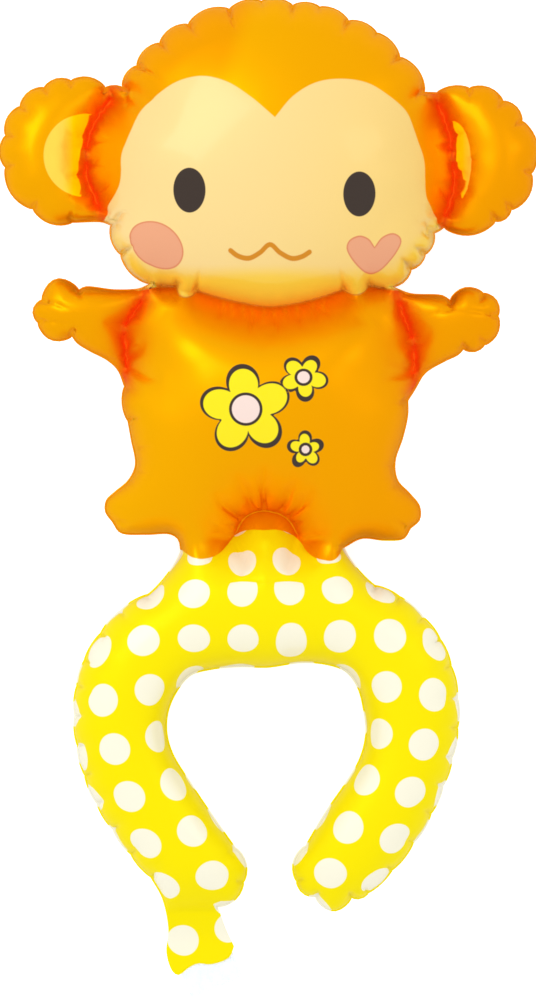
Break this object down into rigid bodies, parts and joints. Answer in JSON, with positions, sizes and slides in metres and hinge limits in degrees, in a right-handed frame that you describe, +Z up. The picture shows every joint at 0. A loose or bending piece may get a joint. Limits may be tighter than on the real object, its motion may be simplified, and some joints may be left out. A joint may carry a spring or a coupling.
{
  "type": "monkey arm balloon",
  "caption": "Blown-up film balloon in the shape of a monkey, lying on its back, with an open dotted ring below it that goes round an arm and closes with a tape strip.",
  "frame": {"origin": "centre of the bounding box's base, on the surface that the balloon lies on", "axes": "+Y runs from the ring to the crown of the head, +Z up out of the monkey's face, +X to the right in plan"},
  "size_m": [0.2674, 0.4989, 0.0979],
  "materials": {
    "printed_film": "glossy metallised film, printed orange, cream and yellow with white dots",
    "clear_tape": "clear, slightly milky adhesive strip"
  },
  "bodies": {
    "root": {"balloon": "printed_film", "tape_tab": "clear_tape"}
  },
  "joints": []
}
